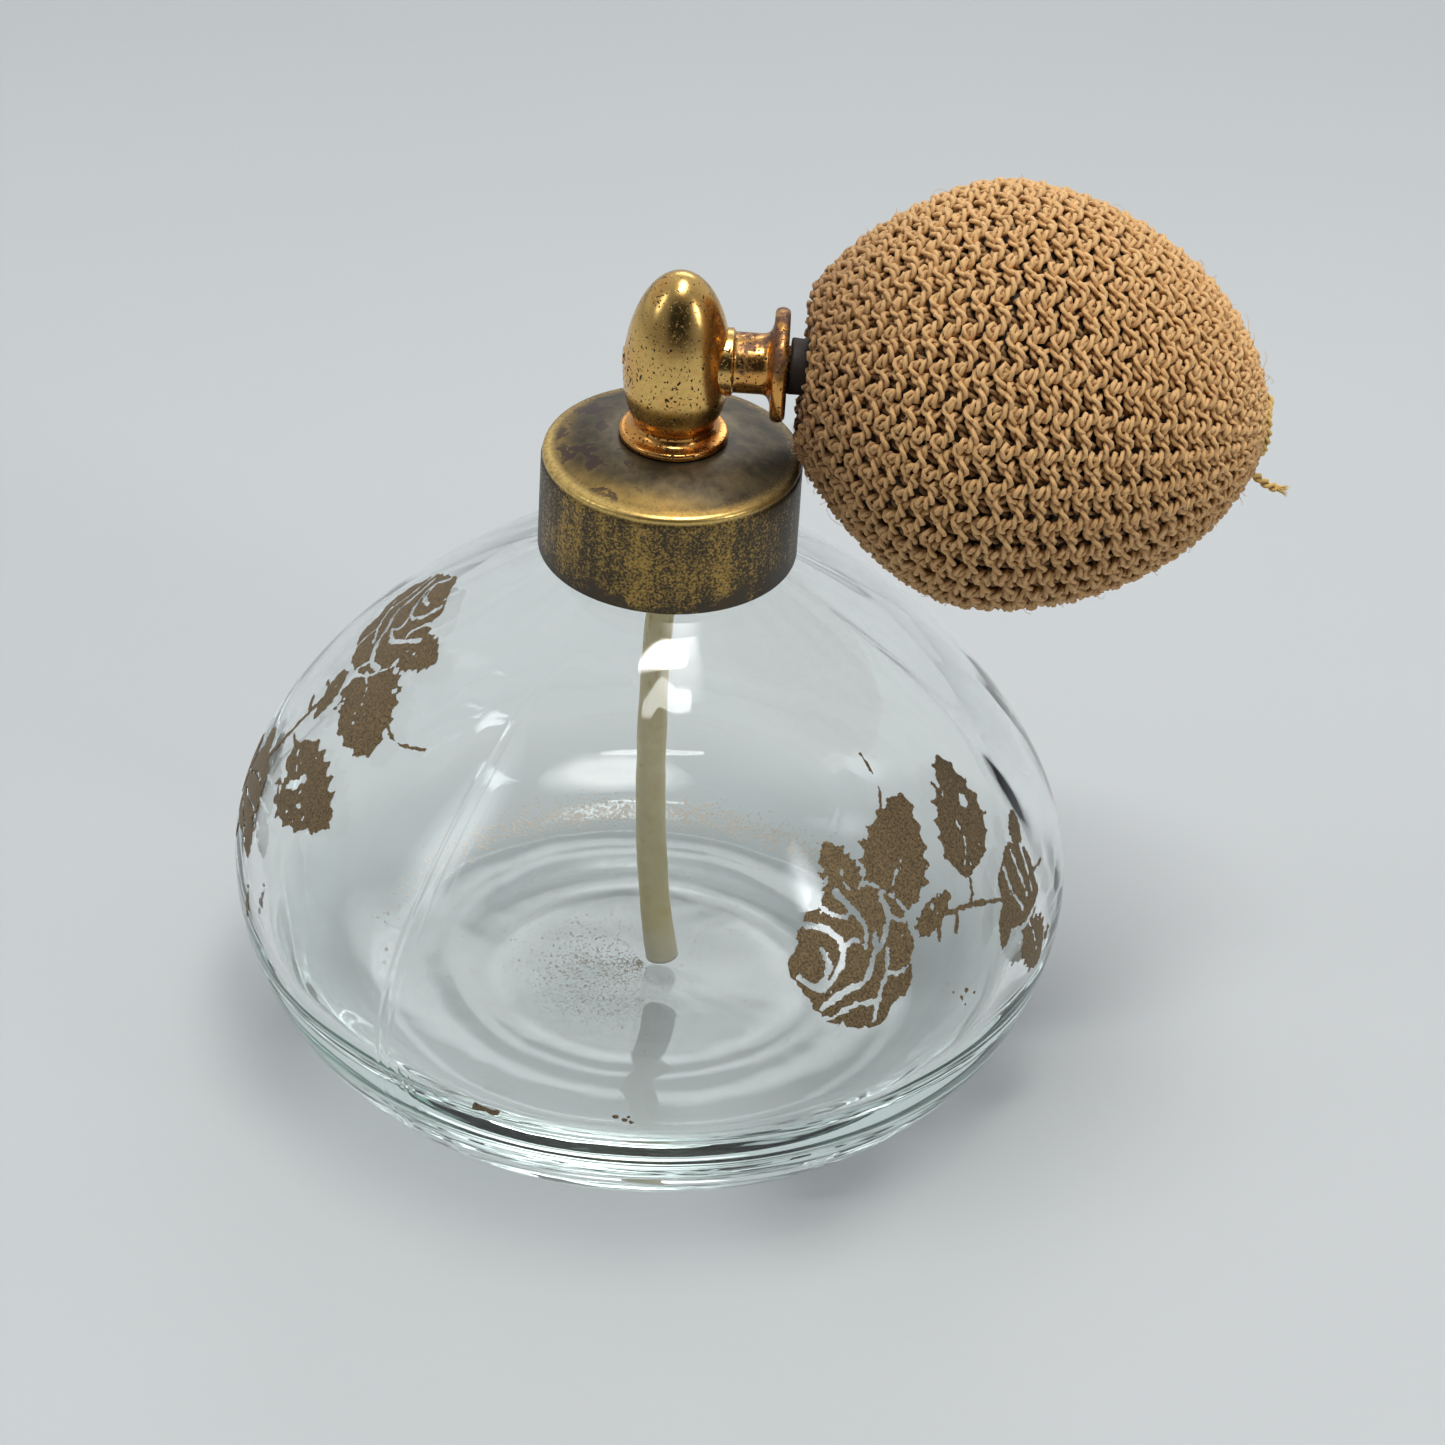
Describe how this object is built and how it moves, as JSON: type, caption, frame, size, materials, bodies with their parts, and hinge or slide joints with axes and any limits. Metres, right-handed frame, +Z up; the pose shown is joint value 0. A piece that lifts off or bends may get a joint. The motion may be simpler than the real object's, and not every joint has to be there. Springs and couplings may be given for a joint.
{
  "type": "perfume atomiser",
  "caption": "Squat glass perfume bottle with a screw-on brass collar, an egg-shaped spray head, a dip tube and a crochet-covered rubber squeeze bulb.",
  "frame": {"origin": "centre of the bottle's flat base, on the bottle's axis", "axes": "+Z up along the bottle's axis, +X along the port towards the bulb, +Y away from the front"},
  "size_m": [0.1035, 0.0864, 0.0999],
  "materials": {
    "glass": "clear pressed soda glass, slightly wavy, fire-polished",
    "collar_brass": "drawn brass, tarnished brown with worn gold edges",
    "gilt_brass": "polished gilt brass with dark pitting",
    "plain_brass": "turned brass, dull",
    "gasket_rubber": "old black rubber",
    "bulb_rubber": "thin moulded black rubber, matt",
    "ivory_tube": "translucent tube yellowed with age, brown stains",
    "steel": "bright steel ball",
    "knit": "silky two-ply crochet thread, tan, soiled near the neck",
    "cord": "golden twisted cord with a frayed end"
  },
  "bodies": {
    "bottle": {"glass_bottle": "glass"},
    "seal": {"neck_gasket": "gasket_rubber"},
    "collar": {"collar_shell": "collar_brass", "thread_insert": "plain_brass"},
    "head": {"head_body": "gilt_brass", "bulb_port": "gilt_brass", "nozzle_insert": "plain_brass", "siphon_tube": "plain_brass", "siphon_bush": "plain_brass", "stem_nut": "plain_brass", "pressure_plate": "plain_brass", "dip_tube": "ivory_tube", "outlet_valve_seat": "plain_brass", "rubber_bulb": "bulb_rubber", "knit_cover": "knit"},
    "outlet_ball": {"outlet_valve_ball": "steel"},
    "tail": {"inlet_valve_body": "plain_brass", "inlet_valve_retainer": "plain_brass", "gathering_cord": "cord"},
    "inlet_ball": {"inlet_valve_ball": "steel"}
  },
  "joints": [
    {"name": "head_lift", "type": "slide", "parent": "bottle", "child": "seal", "axis": [0, 0, 1], "range_m": [0, 0.0045]},
    {"name": "collar_turn", "type": "hinge", "parent": "seal", "child": "collar", "pos_m": [0, 0, 0.065], "axis": [0, 0, 1], "range_deg": [0, 540]},
    {"name": "head_swivel", "type": "hinge", "parent": "seal", "child": "head", "pos_m": [0, 0, 0.07], "axis": [0, 0, 1], "continuous": true},
    {"name": "bulb_squeeze", "type": "slide", "parent": "head", "child": "tail", "axis": [-0.9981, 0, 0.061], "range_m": [0, 0.014], "stiffness_N_per_m": 120, "deforming": ["rubber_bulb", "knit_cover"]},
    {"name": "outlet_ball_lift", "type": "slide", "parent": "head", "child": "outlet_ball", "axis": [-1, 0, 0], "range_m": [0, 0.0004]},
    {"name": "inlet_ball_lift", "type": "slide", "parent": "tail", "child": "inlet_ball", "axis": [-0.9981, 0, 0.061], "range_m": [0, 0.0009]}
  ],
  "couplings": [
    {"joint": "collar_turn", "follows": "head_lift", "rad_per_m": 2094.4}
  ]
}
